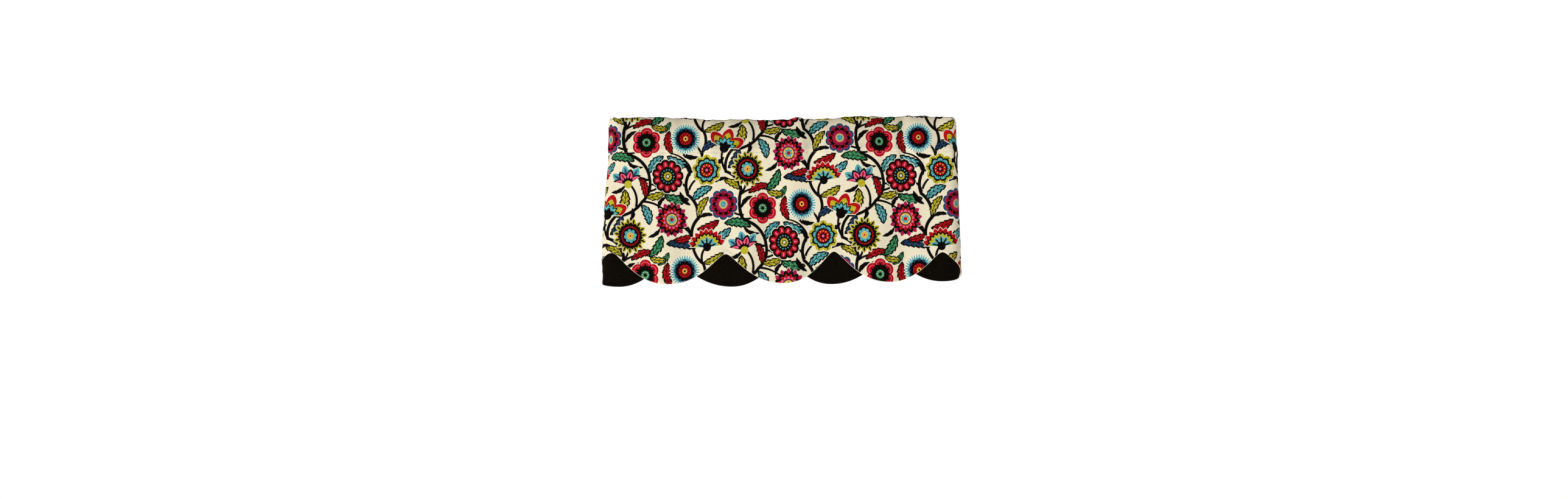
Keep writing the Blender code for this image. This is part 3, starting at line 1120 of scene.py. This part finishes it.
LOTUS = (
    ("petals", "turquoise", 50, 8, 21, 1.3), ("drops", "navy", 45, 8, 24, 3.0),
    ("petals", "ink", 40, 8, 15, 1.3, 0.5), ("petals", "pink", 34, 8, 15, 1.3, 0.5),
    ("drops", "red", 31, 8, 14, 2.6, 0.5), ("petals", "ink", 21, 16, 6), ("disc", "mustard", 10),
)
POMEGRANATE = (
    ("petals", "mustard", 40, 9, 7, 2.4), ("petals", "ink", 32.5, 9, 5, 2.4),
    ("drops", "ink", 38, 9, 9, 1.6), ("petals", "turquoise", 27.5, 9, 5, 2.4),
    ("petals", "ink", 23, 24, 4), ("disc", "red", 16), ("dots", "amber", 12.8, 10, 1.8),
    ("petals", "ink", 9.5, 6, 4, 2), ("disc", "pink", 3.6),
)
# Where the flowers stand: turn in degrees; squeeze, width for height; span, half the angle that it opens
# to, in degrees
FLOWER_COLUMNS = ("x", "y", "turn", "squeeze", "span")
FLOWERS = (
    ((212, 126, 10, 0.92, 180), ASTER),
    ((150, 36, 0, 0.94, 180), ROSETTE),
    ((7, 108, 12, 0.92, 180), DAISY),
    ((251, 26, 0, 0.94, 180), POPPY),
    ((18, 337, 0, 0.92, 180), DAHLIA),
    ((52, 206, 0, 0.92, 180), FRINGE),
    ((109, 266, 4, 1.0, 84), FAN),
    ((152, 180, -16, 1.0, 77), TULIP),
    ((205, 258, 12, 1.0, 67.5), LOTUS),
    ((107, 124, 0, 0.94, 180), POMEGRANATE),
)
# Stems from one spot to another: bulge to the left; width at each end
STEM_COLUMNS = ("x0", "y0", "x1", "y1", "bulge", "wide0", "wide1")
STEMS = (
    (85, -2, 60, 60, -9, 8.8, 8.2), (60, 58, 66, 122, 9, 8.4, 8.0),
    (65, 120, 95, 170, -9, 8.2, 7.7), (94, 168, 97, 228, -9, 8.0, 7.5),
    (97, 226, 72, 285, 8, 7.7, 7.2), (72, 282, 86, 341, 9, 7.5, 8.8),
    (203, -8, 196, 72, 8, 9.0, 8.2), (196, 70, 157, 120, -9, 8.2, 7.5),
    (157, 117, 178, 180, 10, 7.7, 7.5), (176, 176, 242, 214, -9, 7.7, 8.0),
    (240, 212, 259, 276, -10, 8.2, 7.7), (260, 272, 203, 334, -14, 7.7, 9.0),
    (62, 74, 104, 112, 8, 6.1, 4.0), (60, 66, 20, 100, -8, 6.3, 4.0),
    (93, 166, 56, 196, -7, 6.3, 4.0), (156, 122, 151, 184, 8, 6.3, 5.3),
    (97, 226, 109, 270, 7, 6.5, 5.4), (72, 288, 26, 326, -8, 6.3, 4.0),
    (202, 8, 158, 34, 7, 6.3, 4.0), (204, -2, 246, 20, -7, 6.3, 4.0),
    (197, 64, 208, 118, -6, 6.1, 4.0), (226, 202, 205, 262, -9, 6.5, 5.3),
    (240, 214, 312, 176, 10, 6.3, 4.0), (257, 240, 300, 270, -7, 6.1, 4.0),
    (66, 126, 16, 166, -9, 5.9, 3.7), (196, 62, 262, 74, 8, 5.9, 3.7),
)
# Leaves from their base: x, y; turn in degrees; length; width; bend of the middle line; fill; teeth,
# how many; notch, their depth. Black leaves leave out the last three.
LEAF_COLUMNS = ("x", "y", "turn", "long", "wide", "bend", "fill", "teeth", "notch")
LEAF_PLAIN = {"fill": "ink", "teeth": 3, "notch": 1.6}
LEAVES = (
    (198, 256, 206, 42, 13, 6), (292, 148, 216, 44, 13, 6),
    (284, 50, 50, 44, 20, -4, "green", 4, 3.0), (84, 340, 10, 44, 13, 6),
    (262, 270, 160, 42, 13, 6), (86, 158, 166, 46, 15, 6), (244, 302, 158, 46, 13, 8),
    (230, 20, 84, 40, 13, 6), (128, 92, 12, 40, 12, 6), (292, 262, 280, 44, 13, 8),
    (62, 48, 170, 65, 31, 6, "green", 5, 3.8), (70, 46, 34, 63, 29, 6, "turquoise", 5, 3.6),
    (192, 74, 150, 47, 24, -5, "mustard", 4, 3.2), (214, 64, 20, 61, 25, 7, "red", 5, 3.2),
    (260, 72, 58, 65, 30, -7, "green", 5, 3.8), (240, 206, 292, 57, 29, 6, "turquoise", 5, 3.6),
    (250, 226, 14, 53, 25, -6, "mustard", 4, 3.2), (186, 184, 80, 63, 31, -6, "mustard", 5, 3.8),
    (64, 136, 158, 65, 30, 6, "turquoise", 5, 3.6), (80, 264, 172, 77, 30, -7, "navy", 6, 3.6),
    (18, 164, 98, 65, 27, 7, "red", 5, 3.4), (70, 298, 196, 49, 24, 5, "red", 4, 3.2),
    (82, 312, 22, 63, 27, -6, "red", 5, 3.4), (72, 302, 122, 41, 14, 6), (216, 198, 258, 37, 13, 6),
    (262, 70, -8, 45, 23, -4, "mustard", 4, 3.2), (222, 318, 172, 71, 30, -7, "green", 6, 3.8),
    (170, 316, 212, 53, 26, 5, "turquoise", 4, 3.2), (258, 286, 50, 59, 28, 6, "turquoise", 5, 3.6),
    (94, 172, 28, 51, 25, 6, "navy", 4, 3.2), (99, 226, 27, 59, 27, -6, "mustard", 5, 3.4),
    (162, 128, 62, 61, 26, -6, "navy", 5, 3.4), (250, 222, 106, 57, 24, -6, "red", 5, 3.2),
    (84, 2, 62, 61, 25, 6, "mustard", 5, 3.2), (66, 34, 128, 45, 15, 6), (152, 158, 206, 41, 14, 6),
    (196, 26, 46, 43, 14, 6), (64, 108, 118, 39, 13, -6), (262, 258, 330, 39, 13, 6),
    (284, 192, 60, 39, 13, 6),
)


def printed(finish, flat, width, height, colours):
    """The print's colour on the flat cloth: ground, stems, leaves, then flowers."""
    work = Print(finish, flat, width, height, colours)
    for row in rows(STEM_COLUMNS, STEMS):
        work.stem(row)
    for row in rows(LEAF_COLUMNS, LEAVES, LEAF_PLAIN):
        work.leaf(row)
    for spot, layers in FLOWERS:
        work.flower(dict(zip(FLOWER_COLUMNS, spot)), layers)
    return work.colour


def weave(finish, flat, pitch):
    """Height of the weave: the product of two sine waves along the threads, and uneven thick threads,
    the slub, which run mostly across. Gives the height and the slub, a number from 0 to 1."""
    warp = finish.math("SINE", finish.dot(flat, (math.pi / pitch, 0, 0)))
    weft = finish.math("SINE", finish.dot(flat, (0, math.pi / pitch, 0)))
    slub = finish.noise(flat, SLUB_SCALE, 2.0, 0.6)
    return warp * weft * WEAVE_SHARE + slub * (1 - WEAVE_SHARE), slub


def cloth_surface(finish, thread, slub, smooth, rough, shine):
    """Sets how a cloth shines: its roughness from smooth to rough along its slub, its shine, its weave."""
    finish.link(finish.math("MULTIPLY_ADD", slub, rough - smooth, smooth), "Roughness")
    finish.shader.inputs["Specular IOR Level"].default_value = shine
    finish.bump(thread, WEAVE_DEPTH, WEAVE_STRENGTH)


def printed_cloth_finish(cloth, colours):
    """Slub cotton with the print on its outer side, paler on its reverse."""
    finish = Finish("printed_cloth")
    flat = finish.add("ShaderNodeUVMap", {"uv_map": "cloth"})
    tints = {name: tuple(getattr(colours, name)) for name in PRINT_COLOURS}
    cream = (*tints["cream"], 1)
    reverse = (*tints["reverse"], 1)
    colour = printed(finish, flat, colours.repeat_width / MM, colours.repeat_height / MM, tints)
    thread, slub = weave(finish, flat, cloth.thread_pitch)
    grain = finish.noise(flat, GRAIN_SCALE, 1.0, 0.5)
    dyed = finish.math("MINIMUM", finish.dot(colour, DYE_SHOWS), 1.0)
    bare = finish.math("MULTIPLY_ADD", slub + grain * BARE_GRAIN, BARE_GAIN, BARE_START, clamp=True)
    bare = bare * (dyed * BARE_MOST)
    colour = finish.mixed(bare, colour, cream)
    patches = finish.noise(flat, PATCH_SCALE, 2.0, 0.5)
    shade = finish.math("MULTIPLY_ADD", patches, PATCH_DEPTH, SHADE_LOW) + (grain - 0.5) * GRAIN_DEPTH
    tone = finish.add("ShaderNodeCombineColor", (), {0: shade, 1: shade, 2: shade})
    multiply = {"data_type": "RGBA", "blend_type": "MULTIPLY"}
    colour = finish.add("ShaderNodeMix", multiply, {0: 1.0, 6: colour, 7: tone}, 2)
    back = finish.add("ShaderNodeAttribute", {"attribute_name": "reverse"}, (), 2)
    colour = finish.mixed(back * REVERSE_SHARE, colour, reverse)
    from_hem = finish.add("ShaderNodeAttribute", {"attribute_name": "from_hem"}, (), 2)
    # Partly painted highlight: a pale line of the reverse's colour along the fold of the lower hem
    fold = finish.math("MINIMUM", finish.fill(from_hem, FOLD_LINE, FOLD_EDGE), FOLD_REVERSE_AND_HIGHLIGHT)
    finish.link(finish.mixed(fold, colour, reverse), "Base Color")
    cloth_surface(finish, thread, slub, smooth=0.78, rough=0.94, shine=0.05)
    return finish.material


def black_cloth_finish(cloth, colours):
    """Plain black cotton, a little worn to brown along its thick threads."""
    finish = Finish("black_cloth")
    flat = finish.add("ShaderNodeUVMap", {"uv_map": "cloth"})
    thread, slub = weave(finish, flat, cloth.thread_pitch)
    grain = finish.noise(flat, BLACK_GRAIN_SCALE, 1.0, 0.5)
    black = tuple(colours.black)
    lighter = tuple(c * WORN_LIGHTER for c in black)
    worn = finish.math("MULTIPLY_ADD", slub + grain * WORN_GRAIN, WORN_GAIN, WORN_START, clamp=True)
    finish.link(finish.mixed(worn, (*black, 1), (*lighter, 1)), "Base Color")
    cloth_surface(finish, thread, slub, smooth=0.84, rough=0.96, shine=0.02)
    return finish.material


def thread_finish(colours):
    """Twisted cotton thread."""
    finish = Finish("sewing_thread")
    place = finish.add("ShaderNodeTexCoord", (), (), 3)
    twist = finish.noise(place, TWIST_SCALE, 1.0, 0.5)
    tint = tuple(colours.thread)
    dark = tuple(c * 0.8 for c in tint)
    finish.link(finish.mixed(twist, (*dark, 1), (*tint, 1)), "Base Color")
    finish.link(finish.math("MULTIPLY_ADD", twist, 0.2, 0.6), "Roughness")
    finish.bump(twist, 0.0001, 0.6)
    return finish.material


# ---------------------------------------------------------------- operators
def agrees(piece, node, allowed=0.012):
    """Raises an error if a piece doesn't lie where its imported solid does, give or take a distance."""
    low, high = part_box(node)
    points = np.array(piece.bound_box)
    gap = max(np.abs(points.min(axis=0) - low).max(), np.abs(points.max(axis=0) - high).max())
    if gap > allowed:
        raise RuntimeError(f"{piece.name} lies {gap * 1000:.1f} mm away from the box of {node}")


class VALANCE_OT_printed_cloth(bpy.types.Operator):
    """Makes the printed cloth with its scalloped hem, rod pocket and side returns"""

    bl_idname = "valance.printed_cloth"
    bl_label = "Printed cloth"

    def execute(self, context):
        cloth = context.scene.valance_cloth
        finish = printed_cloth_finish(cloth, context.scene.valance_print)
        middle, across, down, _, _ = face_surface()
        half = half_thickness(across, down, cloth.thickness, cloth.hem_thickness)
        piece = cloth_shell("printed_cloth", middle, half, across, down, finish)
        agrees(piece, "face_panel")
        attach(piece, "root")
        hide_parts("face_panel")
        return {"FINISHED"}


class VALANCE_OT_black_cloth(bpy.types.Operator):
    """Makes the plain black layer that hangs behind the printed cloth"""

    bl_idname = "valance.black_cloth"
    bl_label = "Black cloth"

    def execute(self, context):
        cloth = context.scene.valance_cloth
        finish = black_cloth_finish(cloth, context.scene.valance_print)
        middle, across, down = under_surface()
        half = half_thickness(across, down, cloth.black_thickness, cloth.hem_thickness)
        piece = cloth_shell("black_cloth", middle, half, across, down, finish)
        agrees(piece, "under_panel")
        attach(piece, "root")
        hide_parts("under_panel")
        return {"FINISHED"}


class VALANCE_OT_stitching(bpy.types.Operator):
    """Sews the pocket seam and the side hems"""

    bl_idname = "valance.stitching"
    bl_label = "Stitching"

    def execute(self, context):
        cloth = context.scene.valance_cloth
        middle, across, down, front_row, back_row = face_surface()
        half = half_thickness(across, down, cloth.thickness, cloth.hem_thickness)
        normal = surface_normal(middle)
        pitch = cloth.stitch_length
        girth = cloth.sewing_thread
        finish = thread_finish(context.scene.valance_print)
        lines = []
        for row in (front_row, back_row):
            places = spaced(middle[row], normal[row], half[row], pitch, 1)
            lines.append(stitch_line(*places, pitch, girth))
        pocket_stitches = joined_stitches("pocket_stitches", lines, finish)
        lines = []
        for edge in (SIDE_STITCH, across[-1] - across[0] - SIDE_STITCH):
            spot = int(np.argmin(np.abs(across - across[0] - edge)))
            for end, side in ((len(middle), 1), (front_row, -1)):
                places = spaced(middle[:end, spot], normal[:end, spot], half[:end, spot], pitch, side)
                lines.append(stitch_line(*places, pitch, girth))
        side_stitches = joined_stitches("side_hem_stitches", lines, finish)
        for piece in (pocket_stitches, side_stitches):
            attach(piece, "root")
        return {"FINISHED"}


# The stage in metres: size, place and turns in degrees of the low lamp in front, to the left of the
# valance; the camera's sensor in millimetres; how far the floor reaches each way and its lines
LAMP_SIZE = (4.5, 0.7)
LAMP_PLACE = (-4.3, -6.9, -2.8)
LAMP_TURN = (107.8, 0, -32)
SENSOR_WIDTH = 36
FLOOR_REACH = 24
FLOOR_LINES = 25
FLOOR_TINT = (0.80, 0.80, 0.79, 1)
FLOOR_ROUGHNESS = 0.8
GLOW_TINT = (1.0, 1.0, 0.99, 1)
# Directions are measured along LEAN, and the surrounding light fades from one height on it to another
LEAN = (0.10, -0.30, 1.0)
FADE_FROM = 0.06
FADE_TO = 0.31


class VALANCE_OT_stage(bpy.types.Operator):
    """Makes the pale floor, the soft light and the camera"""

    bl_idname = "valance.stage"
    bl_label = "Stage"

    def execute(self, context):
        stage = context.scene.valance_stage
        floor = pale_floor(stage.floor_z, stage.floor_glow)
        surroundings(context.scene, stage.sky, stage.ceiling)
        light = bpy.data.lights.new("key", "AREA")
        light.shape = "RECTANGLE"
        light.size, light.size_y = LAMP_SIZE
        light.energy = stage.key
        lamp = bpy.data.objects.new("key", light)
        lamp.location = LAMP_PLACE
        lamp.rotation_euler = [math.radians(turn) for turn in LAMP_TURN]
        lamp.visible_camera = False
        context.scene.collection.objects.link(lamp)
        view = bpy.data.cameras.new("camera")
        view.sensor_width = SENSOR_WIDTH
        view.lens = stage.lens
        view.dof.use_dof = False
        camera = bpy.data.objects.new("camera", view)
        camera.location = stage.eye
        camera.rotation_euler = (math.pi / 2 + stage.pitch, 0, stage.yaw)
        context.scene.collection.objects.link(camera)
        context.scene.camera = camera
        context.scene.view_settings.view_transform = "Standard"
        return {"FINISHED"}


def pale_floor(height, glow):
    """A wide level square of pale matte floor, which also gives back a little light of its own."""
    steps = np.linspace(-FLOOR_REACH, FLOOR_REACH, FLOOR_LINES)
    x, y = np.meshgrid(steps, steps)
    points = np.stack([x, y, np.full_like(x, height)], axis=-1)
    index = np.arange(x.size).reshape(x.shape)
    corners = [index[:-1, :-1], index[:-1, 1:], index[1:, 1:], index[1:, :-1]]
    faces = np.stack([c.ravel() for c in corners], axis=1)
    finish = Finish("floor")
    finish.shader.inputs["Base Color"].default_value = FLOOR_TINT
    finish.shader.inputs["Roughness"].default_value = FLOOR_ROUGHNESS
    finish.shader.inputs["Emission Color"].default_value = GLOW_TINT
    finish.shader.inputs["Emission Strength"].default_value = glow
    return linked("floor", points.reshape(-1, 3), faces.tolist(), finish.material, smooth=False)


def surroundings(scene, level, ceiling):
    """Pale light from all round. Above a horizon that leans, so that the dimming starts lower in front
    of the valance and to its right, it fades evenly from its full level to the ceiling's share of it."""
    world = bpy.data.worlds.new("surroundings")
    world.use_nodes = True
    scene.world = world
    tree = world.node_tree
    background = tree.nodes["Background"]
    place = tree.nodes.new("ShaderNodeTexCoord")
    lean = tree.nodes.new("ShaderNodeVectorMath")
    lean.operation = "DOT_PRODUCT"
    lean.inputs[1].default_value = LEAN
    fade = tree.nodes.new("ShaderNodeMapRange")
    tree.links.new(place.outputs["Object"], lean.inputs[0])
    tree.links.new(lean.outputs["Value"], fade.inputs["Value"])
    fade.inputs["From Min"].default_value = FADE_FROM
    fade.inputs["From Max"].default_value = FADE_TO
    fade.inputs["To Min"].default_value = level
    fade.inputs["To Max"].default_value = level * ceiling
    tree.links.new(fade.outputs[0], background.inputs["Strength"])
    background.inputs["Color"].default_value = (1.0, 1.0, 1.0, 1)


class VALANCE_PT_sidebar(bpy.types.Panel):
    """Lists the settings and the steps"""

    bl_label = "Valance"
    bl_space_type = "VIEW_3D"
    bl_region_type = "UI"
    bl_category = "Valance"

    def draw(self, context):
        for settings in GROUPS:
            group = getattr(context.scene, settings)
            box = self.layout.box()
            for name in group.bl_rna.properties.keys():
                if name not in ("rna_type", "name"):
                    box.prop(group, name)
        for step in STEPS:
            self.layout.operator(step.bl_idname)


STEPS = (
    VALANCE_OT_printed_cloth,
    VALANCE_OT_black_cloth,
    VALANCE_OT_stitching,
    VALANCE_OT_stage,
)
GROUPS = {
    "valance_cloth": ClothSettings,
    "valance_print": PrintSettings,
    "valance_stage": StageSettings,
}


def register():
    for name, group in GROUPS.items():
        bpy.utils.register_class(group)
        setattr(bpy.types.Scene, name, bpy.props.PointerProperty(type=group))
    for kind in (*STEPS, VALANCE_PT_sidebar):
        bpy.utils.register_class(kind)


def unregister():
    for kind in (VALANCE_PT_sidebar, *reversed(STEPS)):
        bpy.utils.unregister_class(kind)
    for name, group in GROUPS.items():
        delattr(bpy.types.Scene, name)
        bpy.utils.unregister_class(group)


def main():
    register()
    bpy.ops.valance.printed_cloth()
    bpy.ops.valance.black_cloth()
    bpy.ops.valance.stitching()
    bpy.ops.valance.stage()


if __name__ == "__main__":
    main()
